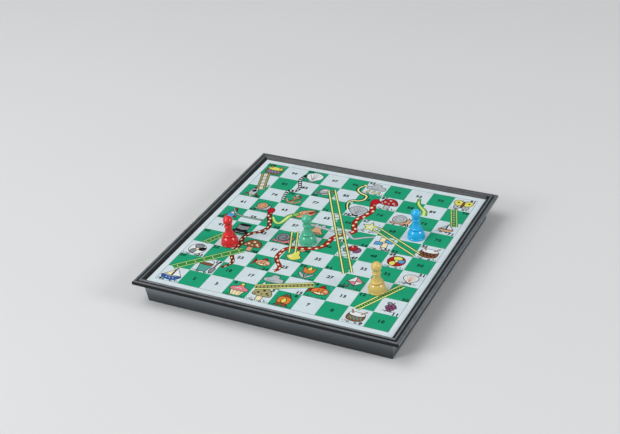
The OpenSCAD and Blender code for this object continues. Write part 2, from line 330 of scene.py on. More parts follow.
class Artwork:
    """Flat shapes in printing order, each in one ink: a later one covers what is under it."""

    def __init__(self):
        self.shapes = []

    def fill(self, ink, outline):
        self.shapes.append((ink, [Vector(point) for point in outline]))

    def ribbon(self, ink, path, widths):
        """A strip along a path. widths is one width, or one for each point."""
        if isinstance(widths, (int, float)):
            widths = [widths] * len(path)
        edges = []
        for i, point in enumerate(path):
            way = (path[min(i + 1, len(path) - 1)] - path[max(i - 1, 0)]).normalized()
            out = Vector((-way.y, way.x)) * widths[i] / 2
            edges.append((point + out, point - out))
        for (left, right), (next_left, next_right) in zip(edges, edges[1:]):
            self.fill(ink, (left, right, next_right, next_left))

    def partition(self, low, high):
        """Triangles between two corners, with no overlap: their points, corners and inks."""
        sheet = [Vector(corner) for corner in (low, (high[0], low[1]), high, (low[0], high[1]))]
        shapes = [("margin", sheet)]
        for ink, outline in self.shapes:
            if min(p.y for p in outline) < high[1] and max(p.y for p in outline) > low[1]:
                shapes.append((ink, outline))
        points, edges = [], []
        for _, outline in shapes:
            first = len(points)
            count = len(outline)
            points.extend(outline)
            edges.extend((first + i, first + (i + 1) % count) for i in range(count))
        points, _, faces, _, _, _ = delaunay_2d_cdt(points, edges, [], 0, MERGE_DISTANCE)
        corners = numpy.array([tuple(point) for point in points])
        faces = numpy.array(faces)
        middles = corners[faces].mean(axis=1)
        faces, middles = (values[covered(sheet, middles)] for values in (faces, middles))
        order = numpy.argsort(middles[:, 0])
        faces, middles = faces[order], middles[order]
        inks = numpy.zeros(len(faces), int)
        names = list(INKS)
        for ink, outline in shapes:
            across = [point.x for point in outline]
            near = slice(*numpy.searchsorted(middles[:, 0], (min(across), max(across))))
            inks[near][covered(outline, middles[near])] = names.index(ink)
        return points, faces.tolist(), inks.tolist()


def covered(outline, places):
    """Which of the places an outline winds round."""
    x, y = places[:, 0], places[:, 1]
    turns = numpy.zeros(len(places), int)
    for start, end in zip(outline, outline[1:] + outline[:1]):
        left = (end.x - start.x) * (y - start.y) - (end.y - start.y) * (x - start.x)
        turns += (start.y <= y) & (end.y > y) & (left > 0)
        turns -= (end.y <= y) & (start.y > y) & (left < 0)
    return turns != 0


class Pen:
    """Draws one picture in its square, from (0, 0) to (1, 1), with dark outlines."""

    def __init__(self, art, u, v, size):
        self.art = art
        self.middle = Vector((u + 0.5, v + 0.5))
        self.size = size

    def place(self, points):
        return [self.middle + (Vector(point) - Vector((0.5, 0.5))) * self.size for point in points]

    def outlined(self, ink, outline):
        self.art.fill("black", grown(outline, PEN_OUTLINE))
        self.art.fill(ink, outline)

    def form(self, ink, *points):
        """A rounded shape through the points."""
        self.outlined(ink, smooth(self.place(points), closed=True))

    def plate(self, ink, *points):
        """A shape with straight sides."""
        self.outlined(ink, self.place(points))

    def oval(self, ink, x, y, across, up, turn=0):
        self.outlined(ink, self.place(oval(x, y, across, up, turn)))

    def spots(self, ink, radius, *places):
        """Round spots without an outline."""
        for x, y in places:
            self.art.fill(ink, self.place(oval(x, y, radius, radius, count=10)))

    def line(self, ink, width, *points):
        self.art.ribbon(ink, smooth(self.place(points)), width * self.size)

    def bar(self, ink, width, *points):
        """A line with an outline of its own."""
        path = smooth(self.place(points))
        self.art.ribbon("black", path, width * self.size + BAR_OUTLINES * PEN_OUTLINE)
        self.art.ribbon(ink, path, width * self.size)


# Pictures, each a common thing in the three inks that it is given


def ground(pen):
    """Short blades of grass and small stones at a picture's foot."""
    blades = ((0.05, -0.03), (0.12, 0.02), (0.2, -0.02), (0.8, 0.03), (0.87, -0.02), (0.94, 0.03))
    for x, lean in blades:
        pen.line("black", 0.024, (x, 0.0), (x + lean, 0.11))
    for x in (0.3, 0.66):
        pen.oval("silver", x, 0.02, 0.04, 0.02)


def sailboat(pen, hull, sail, jib):
    pen.line(
        "sky", 0.05, (0.04, 0.12), (0.2, 0.06), (0.36, 0.12), (0.54, 0.06), (0.72, 0.12),
        (0.96, 0.07),
    )
    pen.line("black", 0.035, (0.5, 0.3), (0.5, 0.96))
    pen.plate(sail, (0.54, 0.42), (0.54, 0.93), (0.9, 0.44))
    pen.plate(jib, (0.46, 0.42), (0.46, 0.8), (0.17, 0.44))
    pen.form(hull, (0.06, 0.36), (0.5, 0.31), (0.95, 0.38), (0.76, 0.14), (0.28, 0.13))
    pen.spots("cream", 0.03, (0.34, 0.23), (0.5, 0.22), (0.66, 0.23))


def balloons(pen, first, second, third):
    for x, y, ink in ((0.3, 0.62, first), (0.72, 0.66, second), (0.5, 0.78, third)):
        pen.line("black", 0.022, (x, y - 0.1), (x * 0.4 + 0.32, 0.3), (0.5, 0.04))
        pen.oval(ink, x, y, 0.17, 0.2)
        pen.spots("white", 0.035, (x - 0.06, y + 0.08))


def mushroom(pen, cap, stem, spots):
    pen.form(stem, (0.4, 0.1), (0.5, 0.07), (0.62, 0.1), (0.6, 0.48), (0.42, 0.48))
    pen.form(cap, (0.1, 0.44), (0.2, 0.78), (0.5, 0.94), (0.8, 0.78), (0.92, 0.44), (0.5, 0.38))
    pen.spots(spots, 0.062, (0.3, 0.6), (0.5, 0.78), (0.7, 0.6))
    pen.spots(spots, 0.04, (0.5, 0.52), (0.8, 0.5), (0.2, 0.48))
    pen.line("leaf", 0.035, (0.16, 0.06), (0.24, 0.2))
    pen.line("leaf", 0.035, (0.84, 0.06), (0.76, 0.18))


def fish(pen, body, belly, fin):
    pen.plate(fin, (0.2, 0.5), (0.02, 0.76), (0.06, 0.5), (0.02, 0.22))
    pen.form(fin, (0.4, 0.66), (0.56, 0.9), (0.7, 0.66))
    pen.oval(body, 0.54, 0.48, 0.38, 0.24)
    pen.form(belly, (0.3, 0.36), (0.56, 0.4), (0.8, 0.36), (0.56, 0.27))
    pen.line("black", 0.025, (0.66, 0.68), (0.6, 0.5), (0.66, 0.3))
    pen.line(fin, 0.04, (0.48, 0.64), (0.44, 0.5), (0.48, 0.36))
    pen.spots("white", 0.055, (0.78, 0.54))
    pen.spots("black", 0.025, (0.79, 0.54))
    pen.spots("sky", 0.04, (0.94, 0.78), (0.86, 0.9))


def butterfly(pen, upper, lower, spots):
    for side in (-1, 1):
        pen.oval(lower, 0.5 + side * 0.2, 0.3, 0.17, 0.2, side * 20)
        pen.oval(upper, 0.5 + side * 0.25, 0.64, 0.21, 0.25, side * -30)
        pen.spots(spots, 0.06, (0.5 + side * 0.28, 0.68))
        pen.spots(spots, 0.04, (0.5 + side * 0.2, 0.28))
        pen.line("black", 0.022, (0.5, 0.76), (0.5 + side * 0.08, 0.88), (0.5 + side * 0.16, 0.93))
    pen.oval("brown", 0.5, 0.5, 0.045, 0.28)


def ball(pen, first, second, third):
    pen.oval(first, 0.5, 0.48, 0.38, 0.38)
    pen.form(second, (0.5, 0.48), (0.3, 0.72), (0.5, 0.84), (0.7, 0.72))
    pen.form(second, (0.5, 0.48), (0.26, 0.36), (0.3, 0.18), (0.46, 0.14))
    pen.form(third, (0.5, 0.48), (0.76, 0.4), (0.84, 0.5), (0.8, 0.64))
    pen.oval("cream", 0.5, 0.48, 0.07, 0.07)


def drum(pen, side, skin, cord):
    pen.form(side, (0.14, 0.62), (0.14, 0.24), (0.5, 0.12), (0.86, 0.24), (0.86, 0.62), (0.5, 0.56))
    zigzag = [(0.18 + 0.08 * i, (0.26, 0.5)[i % 2] - 0.05 * sin(pi * i / 8)) for i in range(9)]
    for start, end in zip(zigzag, zigzag[1:]):
        pen.line(cord, 0.035, start, end)
    pen.oval(skin, 0.5, 0.64, 0.37, 0.14)
    pen.bar("tan", 0.035, (0.3, 0.66), (0.14, 0.94))
    pen.bar("tan", 0.035, (0.66, 0.66), (0.88, 0.93))


def cupcake(pen, case, icing, cherry):
    pen.plate(case, (0.3, 0.08), (0.7, 0.08), (0.82, 0.44), (0.18, 0.44))
    for x in (0.36, 0.5, 0.64):
        pen.line("brown", 0.022, (x, 0.1), (x * 1.2 - 0.1, 0.42))
    pen.form(
        icing, (0.12, 0.44), (0.16, 0.62), (0.34, 0.68), (0.5, 0.86), (0.68, 0.68), (0.86, 0.6),
        (0.88, 0.44), (0.5, 0.4),
    )
    pen.line("white", 0.03, (0.3, 0.56), (0.46, 0.6), (0.6, 0.55))
    pen.oval(cherry, 0.52, 0.86, 0.08, 0.08)


def rocket(pen, body, fins, window):
    pen.form("yellow", (0.4, 0.2), (0.46, 0.08), (0.5, 0.02), (0.54, 0.08), (0.6, 0.2))
    pen.plate(fins, (0.36, 0.42), (0.16, 0.18), (0.38, 0.24))
    pen.plate(fins, (0.64, 0.42), (0.84, 0.18), (0.62, 0.24))
    pen.form(body, (0.36, 0.2), (0.34, 0.56), (0.5, 0.96), (0.66, 0.56), (0.64, 0.2), (0.5, 0.17))
    pen.form(fins, (0.42, 0.76), (0.5, 0.95), (0.58, 0.76), (0.5, 0.73))
    pen.oval(window, 0.5, 0.54, 0.08, 0.08)


def tulip(pen, bloom, inner, leaf):
    pen.bar(leaf, 0.04, (0.5, 0.06), (0.52, 0.5))
    pen.form(leaf, (0.5, 0.08), (0.3, 0.2), (0.16, 0.46), (0.4, 0.3))
    pen.form(leaf, (0.52, 0.08), (0.7, 0.2), (0.86, 0.42), (0.62, 0.28))
    pen.form(inner, (0.4, 0.6), (0.52, 0.94), (0.64, 0.6))
    pen.form(
        bloom, (0.52, 0.44), (0.3, 0.54), (0.27, 0.86), (0.44, 0.66), (0.6, 0.66), (0.77, 0.86),
        (0.74, 0.54),
    )


def autumn_leaf(pen, blade, tip, vein):
    pen.form(blade, (0.16, 0.16), (0.12, 0.5), (0.4, 0.78), (0.9, 0.9), (0.78, 0.42), (0.48, 0.16))
    pen.form(tip, (0.62, 0.68), (0.9, 0.9), (0.74, 0.6), (0.66, 0.6))
    pen.line(vein, 0.035, (0.04, 0.04), (0.4, 0.42), (0.86, 0.86))
    forks = (((0.34, 0.36), (0.3, 0.6)), ((0.5, 0.52), (0.5, 0.76)), ((0.4, 0.42), (0.62, 0.36)))
    for start, end in forks:
        pen.line(vein, 0.025, start, end)


def pear(pen, fruit, blush, leaf):
    pen.form(
        fruit, (0.5, 0.82), (0.62, 0.68), (0.66, 0.52), (0.82, 0.3), (0.5, 0.08), (0.18, 0.3),
        (0.34, 0.52), (0.38, 0.68),
    )
    pen.spots(blush, 0.08, (0.36, 0.32))
    pen.spots(blush, 0.045, (0.44, 0.56))
    pen.bar("brown", 0.035, (0.5, 0.8), (0.46, 0.96))
    pen.form(leaf, (0.5, 0.84), (0.66, 0.98), (0.84, 0.9), (0.66, 0.82))


def bell(pen, body, rim, bow):
    pen.oval(rim, 0.5, 0.16, 0.09, 0.08)
    pen.form(
        body, (0.14, 0.26), (0.3, 0.5), (0.36, 0.76), (0.5, 0.84), (0.64, 0.76), (0.7, 0.5),
        (0.86, 0.26), (0.5, 0.2),
    )
    pen.line(rim, 0.06, (0.24, 0.32), (0.5, 0.27), (0.76, 0.32))
    pen.form(bow, (0.5, 0.86), (0.28, 0.98), (0.24, 0.8))
    pen.form(bow, (0.5, 0.86), (0.72, 0.98), (0.76, 0.8))
    pen.oval(bow, 0.5, 0.86, 0.05, 0.05)


def lantern(pen, frame_ink, glass, flame):
    pen.line("black", 0.035, (0.36, 0.78), (0.5, 0.97), (0.64, 0.78))
    pen.plate(frame_ink, (0.3, 0.68), (0.38, 0.82), (0.62, 0.82), (0.7, 0.68))
    pen.form(glass, (0.3, 0.66), (0.22, 0.44), (0.3, 0.22), (0.7, 0.22), (0.78, 0.44), (0.7, 0.66))
    pen.form(flame, (0.5, 0.6), (0.4, 0.4), (0.5, 0.28), (0.6, 0.4))
    pen.plate(frame_ink, (0.24, 0.08), (0.76, 0.08), (0.7, 0.22), (0.3, 0.22))


def planet(pen, globe, band, ring):
    pen.oval(globe, 0.5, 0.5, 0.28, 0.28)
    pen.form(band, (0.26, 0.6), (0.5, 0.68), (0.74, 0.6), (0.5, 0.56))
    pen.bar(
        ring, 0.06, (0.3, 0.44), (0.06, 0.32), (0.2, 0.26), (0.5, 0.36), (0.8, 0.52), (0.95, 0.68),
        (0.72, 0.66),
    )
    pen.spots(ring, 0.035, (0.14, 0.8), (0.84, 0.9), (0.86, 0.2))


def anchor(pen, iron, rope, ring):
    pen.bar(iron, 0.07, (0.12, 0.4), (0.24, 0.18), (0.5, 0.1), (0.76, 0.18), (0.88, 0.4))
    pen.bar(iron, 0.07, (0.5, 0.12), (0.5, 0.76))
    pen.bar(iron, 0.06, (0.3, 0.62), (0.7, 0.62))
    pen.oval(ring, 0.5, 0.84, 0.1, 0.1)
    pen.bar(rope, 0.04, (0.56, 0.84), (0.76, 0.72), (0.66, 0.44), (0.44, 0.34), (0.34, 0.16))


def snail(pen, shell, body, swirl):
    pen.form(
        body, (0.06, 0.16), (0.5, 0.1), (0.86, 0.16), (0.94, 0.56), (0.8, 0.6), (0.72, 0.3),
        (0.3, 0.26),
    )
    pen.line("black", 0.025, (0.84, 0.56), (0.8, 0.76))
    pen.line("black", 0.025, (0.92, 0.56), (0.96, 0.76))
    pen.oval(shell, 0.42, 0.5, 0.31, 0.32)
    pen.line(
        swirl, 0.04, (0.68, 0.42), (0.56, 0.26), (0.26, 0.34), (0.28, 0.66), (0.54, 0.68),
        (0.56, 0.44), (0.4, 0.46),
    )


def cloud(pen, body, shade, drops):
    pen.form(
        body, (0.1, 0.42), (0.08, 0.6), (0.26, 0.68), (0.38, 0.88), (0.62, 0.86),
        (0.7, 0.7), (0.9, 0.66), (0.9, 0.42), (0.5, 0.38),
    )
    pen.line(shade, 0.05, (0.22, 0.5), (0.42, 0.46), (0.6, 0.52))
    for x in (0.24, 0.5, 0.76):
        pen.oval(drops, x, 0.18, 0.045, 0.09, -20)


def grapes(pen, fruit, shine, leaf):
    rows = ((0.14, (0.5,)), (0.3, (0.38, 0.62)), (0.47, (0.28, 0.5, 0.72)), (0.63, (0.38, 0.62)))
    for y, row in rows:
        for x in row:
            pen.oval(fruit, x, y, 0.12, 0.12)
            pen.spots(shine, 0.03, (x - 0.04, y + 0.04))
    pen.form(leaf, (0.5, 0.74), (0.34, 0.94), (0.16, 0.86), (0.3, 0.72))
    pen.bar("brown", 0.035, (0.5, 0.72), (0.58, 0.96))


def kite(pen, first, second, tail):
    pen.line("black", 0.025, (0.6, 0.3), (0.44, 0.2), (0.3, 0.24), (0.14, 0.08))
    for x, y in ((0.44, 0.2), (0.27, 0.21)):
        pen.plate(
            tail, (x - 0.07, y + 0.06), (x + 0.07, y - 0.06), (x + 0.07, y + 0.06),
            (x - 0.07, y - 0.06),
        )
    pen.plate(first, (0.6, 0.3), (0.9, 0.6), (0.56, 0.62))
    pen.plate(second, (0.6, 0.3), (0.56, 0.62), (0.24, 0.54))
    pen.plate(second, (0.56, 0.62), (0.9, 0.6), (0.5, 0.96))
    pen.plate(first, (0.56, 0.62), (0.5, 0.96), (0.24, 0.54))


def pinwheel(pen, first, second, stick):
    pen.bar(stick, 0.045, (0.5, 0.56), (0.56, 0.04))
    for quarter in range(4):
        way = Vector((cos(pi / 2 * quarter), sin(pi / 2 * quarter)))
        side = Vector((-way.y, way.x))
        middle = Vector((0.5, 0.58))
        tip = middle + way * 0.36
        pen.plate((first, second)[quarter % 2], middle, tip, tip + side * 0.24, middle + side * 0.2)
    pen.oval("cream", 0.5, 0.58, 0.05, 0.05)


def top_hat(pen, felt, band, brim):
    pen.oval(brim, 0.5, 0.26, 0.44, 0.13)
    pen.form(felt, (0.26, 0.26), (0.24, 0.84), (0.5, 0.9), (0.76, 0.84), (0.74, 0.26), (0.5, 0.2))
    pen.form(band, (0.26, 0.32), (0.26, 0.46), (0.5, 0.4), (0.74, 0.46), (0.74, 0.32), (0.5, 0.26))
    pen.oval(brim, 0.5, 0.83, 0.23, 0.07)


def bucket(pen, pail, rim, spade):
    pen.line("black", 0.03, (0.16, 0.66), (0.2, 0.9), (0.48, 0.96), (0.68, 0.86), (0.7, 0.66))
    pen.plate(pail, (0.24, 0.08), (0.62, 0.08), (0.72, 0.62), (0.14, 0.62))
    pen.oval(rim, 0.43, 0.63, 0.3, 0.08)
    pen.bar("brown", 0.04, (0.88, 0.9), (0.86, 0.42))
    pen.form(spade, (0.78, 0.42), (0.95, 0.42), (0.94, 0.16), (0.86, 0.06), (0.78, 0.18))


def star(pen, points_ink, core, sparks):
    corners = []
    for i in range(10):
        reach = (0.42, 0.19)[i % 2]
        angle = pi / 2 + pi / 5 * i
        corners.append((0.5 + reach * cos(angle), 0.5 + reach * sin(angle)))
    pen.plate(points_ink, *corners)
    pen.spots(core, 0.11, (0.5, 0.5))
    pen.spots(sparks, 0.04, (0.12, 0.16), (0.88, 0.16), (0.14, 0.86), (0.88, 0.84))


def shell(pen, fan, ribs, base):
    pen.plate(base, (0.36, 0.08), (0.64, 0.08), (0.6, 0.26), (0.4, 0.26))
    pen.form(
        fan, (0.42, 0.18), (0.12, 0.46), (0.14, 0.74), (0.5, 0.9), (0.86, 0.74), (0.88, 0.46),
        (0.58, 0.18),
    )
    for x, y in ((0.24, 0.7), (0.38, 0.82), (0.5, 0.85), (0.62, 0.82), (0.76, 0.7)):
        pen.line(ribs, 0.028, (0.5, 0.22), (x, y))


# The picture of each square that has one, with its three inks
PICTURES = {
    1: (sailboat, "blue", "white", "cream"),
    4: (cupcake, "cream", "pink", "yellow"),
    5: (mushroom, "khaki", "cream", "black"),
    6: (lantern, "brown", "orange", "yellow"),
    9: (drum, "brown", "white", "teal"),
    11: (grapes, "mauve", "pink", "grey"),
    14: (fish, "orange", "cream", "red"),
    16: (cloud, "silver", "grey", "white"),
    19: (bucket, "teal", "brown", "grey"),
    21: (ball, "white", "grey", "black"),
    24: (fish, "tan", "cream", "red"),
    26: (tulip, "orange", "yellow", "silver"),
    28: (kite, "white", "pink", "grey"),
    31: (shell, "white", "orange", "grey"),
    36: (pear, "yellow", "cream", "tan"),
    38: (mushroom, "brown", "tan", "cream"),
    42: (top_hat, "grey", "black", "black"),
    44: (snail, "grey", "pink", "black"),
    47: (balloons, "grey", "mauve", "red"),
    49: (ball, "red", "yellow", "sky"),
    51: (drum, "brown", "white", "black"),
    53: (pinwheel, "sky", "cream", "tan"),
    56: (bell, "tan", "black", "silver"),
    60: (rocket, "sky", "red", "cream"),
    62: (snail, "tan", "silver", "brown"),
    64: (autumn_leaf, "tan", "red", "brown"),
    67: (star, "straw", "white", "sky"),
    71: (sailboat, "tan", "white", "silver"),
    73: (snail, "silver", "tan", "grey"),
    75: (shell, "silver", "grey", "black"),
    78: (anchor, "tan", "red", "silver"),
    80: (rocket, "silver", "red", "black"),
    84: (planet, "silver", "white", "grey"),
    87: (mushroom, "red", "silver", "silver"),
    91: (butterfly, "yellow", "silver", "black"),
    95: (cloud, "silver", "grey", "yellow"),
    98: (shell, "white", "grey", "silver"),
    100: (drum, "brown", "yellow", "sky"),
}

# Sizes of the pictures that are smaller than the rest, in squares
PICTURE_SIZES = {
    9: 0.86, 11: 0.62, 24: 0.82, 31: 0.72, 62: 0.74, 67: 0.8, 71: 0.68, 78: 0.86, 91: 0.86,
}


# Snakes


def measured(path, gap):
    """Points at even gaps along a path, with the way that it runs there."""
    marks, left = [], gap / 2
    for start, end in zip(path, path[1:]):
        length = (end - start).length
        while left < length:
            marks.append((start.lerp(end, left / length), (end - start).normalized()))
            left += gap
        left -= length
    return marks


def heading(way):
    """How far a direction is turned from the upward one, in degrees."""
    return way.angle_signed(Vector((0, 1))) * 180 / pi


def snake_body(art, path, sizes, ink, edge, outline=SNAKE_OUTLINE):
    """A body as wide as its sizes say: at the neck, in the middle and at the tail."""
    spine = smooth(path)
    neck, middle, tail = sizes
    widths = []
    for i in range(len(spine)):
        share = i / (len(spine) - 1)
        neck_share = max(0, 1 - share * NECK_PARTS)
        tail_share = max(0, share * TAIL_PARTS - 1)
        widths.append(middle + (neck - middle) * neck_share + (tail - middle) * tail_share)
    art.ribbon(edge, spine, [width + 2 * outline for width in widths])
    art.ribbon(ink, spine, widths)
    return spine, widths


def snake_head(art, spine, size, ink, edge):
    """A rounded head at the start of the spine, with two plain eyes."""
    way = (spine[0] - spine[2]).normalized()
    side = Vector((-way.y, way.x))
    middle = spine[0] + way * size * HEAD_FORWARD
    across, up = (size * half for half in HEAD_HALVES)
    outline = oval(middle.x, middle.y, across, up, heading(way))
    art.fill(edge, grown(outline, SNAKE_OUTLINE))
    art.fill(ink, outline)
    for hand in (-1, 1):
        eye = middle + side * hand * size * EYE_SIDE + way * size * EYE_FORWARD
        radius = size * EYE_RADIUS
        art.fill("black", oval(eye.x, eye.y, radius, radius, count=8))


def spotted_snake(art, path, head, sizes, ink, spot, edge, head_ink, gap):
    """A snake with spots that lie by turns at its left and at its right."""
    spine, widths = snake_body(art, path, sizes, ink, edge)
    hand = 1
    for place, way in measured(spine, gap):
        width = widths[min(range(len(spine)), key=lambda i: (spine[i] - place).length)]
        place = place + Vector((-way.y, way.x)) * hand * width * SPOT_SIDE
        across, up = width * SPOT_HALF_WIDTH, gap * SPOT_HALF_LENGTH
        art.fill(spot, oval(place.x, place.y, across, up, heading(way), count=12))
        hand = -hand
    snake_head(art, spine, head, head_ink, edge)


def banded_snake(art, path, head, sizes, ink, band, edge):
    """A snake with bands across it."""
    spine, _ = snake_body(art, path, sizes, ink, edge)
    for place, way in measured(spine, BAND_GAP):
        across = Vector((-way.y, way.x)) * sizes[1] * 0.5
        art.ribbon(band, (place - across, place + across), BAND_GAP * BAND_LENGTH)
    snake_head(art, spine, head, ink, edge)


def plain_snake(art, path, head, sizes, ink, belly, edge, outline=SNAKE_OUTLINE):
    """A snake with one stripe along it."""
    spine, widths = snake_body(art, path, sizes, ink, edge, outline)
    art.ribbon(belly, spine, [width * BELLY_SHARE for width in widths])
    snake_head(art, spine, head, ink, edge)


# Each snake: how it is drawn, its path from head to tail, the size of its head, its widths at the
# neck, in the middle and at the tail, and its inks, with the gap of its spots or its outline
SNAKES = (
    (
        spotted_snake,
        (
            (5.9, 8.38), (5.92, 8.15), (6.06, 7.75), (5.98, 7.35), (5.78, 6.95), (5.76, 6.6),
            (5.9, 6.2), (6.02, 5.9), (5.7, 5.6), (5.4, 5.2), (5.32, 4.6), (5.15, 4.3), (4.8, 4.08),
            (4.3, 3.98), (3.98, 3.8), (3.86, 3.5), (3.86, 3.1), (4.02, 2.8), (4.25, 2.55),
            (4.32, 2.3), (4.2, 2.12),
        ),
        0.38, (0.23, 0.19, 0.1), ("red", "cream", "umber", "crimson", 0.28),
    ),
    (
        spotted_snake,
        (
            (2.0, 6.2), (2.12, 5.8), (2.35, 5.4), (2.5, 5.0), (2.36, 4.6), (2.08, 4.35),
            (1.9, 4.05), (1.9, 3.75), (2.0, 3.45), (2.0, 3.1), (1.98, 2.75), (2.14, 2.45),
            (2.33, 2.15), (2.3, 1.9), (2.1, 1.6),
        ),
        0.32, (0.16, 0.14, 0.08), ("maroon", "cream", "umber", "crimson", 0.24),
    ),
    (
        plain_snake,
        ((3.1, 6.3), (2.92, 6.1), (2.88, 5.8), (2.78, 5.45), (2.55, 5.5), (2.3, 5.82)),
        0.24, (0.18, 0.2, 0.1), ("lime", "straw", "moss"),
    ),
    (
        plain_snake,
        ((2.0, 5.42), (1.5, 5.41), (1.0, 5.42), (0.65, 5.55), (0.4, 5.85)),
        0.1, (0.07, 0.07, 0.05), ("grey", "silver", "moss"),
    ),
    (
        banded_snake,
        (
            (2.05, 9.45), (2.0, 9.1), (2.15, 8.75), (2.28, 8.45), (2.25, 8.15), (1.95, 8.05),
            (1.92, 7.75), (2.05, 7.2),
        ),
        0.14, (0.1, 0.11, 0.08), ("black", "white", "black"),
    ),
    (
        plain_snake,
        (
            (4.93, 9.6), (4.78, 9.35), (4.82, 9.1), (5.05, 8.92), (5.34, 8.8), (5.38, 8.5),
            (5.2, 8.3), (4.95, 8.25), (4.82, 8.05), (4.88, 7.78), (5.02, 7.5),
        ),
        0.14, (0.08, 0.08, 0.06), ("straw", "cream", "black", THICK_OUTLINE),
    ),
    (
        plain_snake,
        ((7.62, 9.25), (7.7, 8.95), (7.9, 8.7), (8.15, 8.45), (8.24, 8.1)),
        0.12, (0.08, 0.14, 0.25), ("lime", "straw", "moss"),
    ),
    (
        plain_snake,
        (
            (4.2, 5.8), (4.8, 5.72), (5.3, 5.66), (5.8, 5.75), (6.2, 5.42), (6.6, 5.65),
            (7.0, 5.85),
        ),
        0.14, (0.08, 0.08, 0.05), ("silver", "paper", "grey"),
    ),
)


# The whole print


def draw_squares(art):
    side = SQUARES
    frame_line = [Vector((0, 0)), Vector((side, 0)), Vector((side, side)), Vector((0, side))]
    art.fill("grey", grown(frame_line, BORDER_WIDTH))
    for column in range(SQUARES):
        for row in range(SQUARES):
            ink = "green" if (column + row) % 2 else "paper"
            corners = ((column, row), (column + 1, row), (column + 1, row + 1), (column, row + 1))
            art.fill(ink, corners)


def corner_of(number):
    """Column and row of a numbered square, on the path that turns back at each row's end."""
    row, along = divmod(number - 1, SQUARES)
    return (along if row % 2 == 0 else SQUARES - 1 - along), row


def draw_pictures(art):
    for number, (motif, *inks) in PICTURES.items():
        pen = Pen(art, *corner_of(number), PICTURE_SIZES.get(number, PICTURE_SIZE))
        motif(pen, *inks)
        ground(pen)


def draw_ladders(art):
    for foot, top, widths, pitch, rung_width, inks in LADDERS:
        fill, rail_ink, rail_edge, rung_ink, rung_edge = inks
        foot, top = Vector(foot), Vector(top)
        way = (top - foot).normalized()
        side = Vector((-way.y, way.x))
        if fill:
            art.ribbon(fill, (foot, top), widths)
        count = int((top - foot).length / pitch)
        for i in range(count):
            share = (i + 0.5) / count
            middle = foot.lerp(top, share)
            half = side * (widths[0] + (widths[1] - widths[0]) * share) / 2
            rung = (middle - half, middle + half)
            if rung_edge:
                art.ribbon(rung_edge, rung, rung_width + LADDER_OUTLINE)
            art.ribbon(rung_ink, rung, rung_width)
        for hand in (-0.5, 0.5):
            rail = (foot + side * hand * widths[0], top + side * hand * widths[1])
            art.ribbon(rail_edge, rail, RAIL_WIDTH + 2 * LADDER_OUTLINE)
            art.ribbon(rail_ink, rail, RAIL_WIDTH)


def draw_snakes(art):
    for draw, path, head, sizes, inks in SNAKES:
        draw(art, path, head, sizes, *inks)


def digit_shapes():
    """Faces of the ten digits, one unit high and centred, from Blender's own font."""
    shapes = {}
    for digit in "0123456789":
        curve = bpy.data.curves.new("digit", "FONT")
        curve.body = digit
        curve.offset = DIGIT_WEIGHT
        curve.resolution_u = DIGIT_CURVE_STEPS
        glyph = bpy.data.objects.new("digit", curve)
        mesh = glyph.to_mesh()
        corners = [vertex.co.xy for vertex in mesh.vertices]
        low = Vector((min(c.x for c in corners), min(c.y for c in corners)))
        high = Vector((max(c.x for c in corners), max(c.y for c in corners)))
        middle = (low + high) / 2
        height = high.y - low.y
        faces = [face.vertices for face in mesh.polygons]
        shapes[digit] = [[(corners[i] - middle) / height for i in face] for face in faces]
        glyph.to_mesh_clear()
        bpy.data.objects.remove(glyph)
        bpy.data.curves.remove(curve)
    return shapes


def number_place(number):
    column, row = corner_of(number)
    spot = Vector(NUMBER_MIDDLE)
    for (right, top), numbers in NUMBER_CORNERS.items():
        if number in numbers:
            spot.x = 1 - CORNER_INSET[0] if right else CORNER_INSET[0]
            spot.y = 1 - CORNER_INSET[1] if top else CORNER_INSET[1]
    return Vector((column, row)) + spot


def draw_numbers(art):
    digits = digit_shapes()
    for number in range(1, SQUARES**2 + 1):
        name = str(number)
        middle = number_place(number)
        ink = "pine" if sum(corner_of(number)) % 2 else "black"
        for i, digit in enumerate(name):
            along = (i - (len(name) - 1) / 2) * DIGIT_PITCH
            place = middle + Vector((along, 0))
            for face in digits[digit]:
                art.fill(ink, [place + corner * DIGIT_HEIGHT for corner in face])


def draw_board():
    art = Artwork()
    draw_squares(art)
    draw_pictures(art)
    draw_numbers(art)
    draw_snakes(art)
    draw_ladders(art)
    return art


def to_squares(x, y):
    return (x / SQUARE + SQUARES / 2, y / SQUARE + SQUARES / 2)


def to_metres(point, z):
    return ((point.x - SQUARES / 2) * SQUARE, (point.y - SQUARES / 2) * SQUARE, z)


def close_below(mesh, z):
    """Walls from a flat mesh's rim down to a height, in the inks beside them, and a base."""
    rim = [corner for corner in mesh.verts if corner.is_boundary]
    feet = {corner: mesh.verts.new((corner.co.x, corner.co.y, z)) for corner in rim}
    for edge in [edge for edge in mesh.edges if edge.is_boundary]:
        beside = edge.link_loops[0]
        start, end = beside.vert, beside.link_loop_next.vert
        mesh.faces.new((end, start, feet[start], feet[end]), beside.face)
    base = [edge for edge in mesh.edges if edge.is_boundary]
    bmesh.ops.triangle_fill(mesh, edges=base, use_beauty=True)
    bmesh.ops.recalc_face_normals(mesh, faces=mesh.faces)


def printed_film(half, art, materials):
    """The printed sheet of one half: its top parted into inks, on a closed body."""
    low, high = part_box(f"{half}_printed_sheet")
    points, faces, inks = art.partition(to_squares(low.x, low.y), to_squares(high.x, high.y))
    mesh = bmesh.new()
    top = [mesh.verts.new(to_metres(point, high.z)) for point in points]
    for corners, ink in zip(faces, inks):
        mesh.faces.new([top[i] for i in corners]).material_index = ink
    bmesh.ops.delete(mesh, geom=[v for v in mesh.verts if not v.link_faces], context="VERTS")
    close_below(mesh, low.z)
    film = add_mesh(f"{half}_printed_film", mesh)
    for name in INKS:
        film.data.materials.append(materials[name])
    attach(film, f"{half}_half")
    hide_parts(f"{half}_printed_sheet")


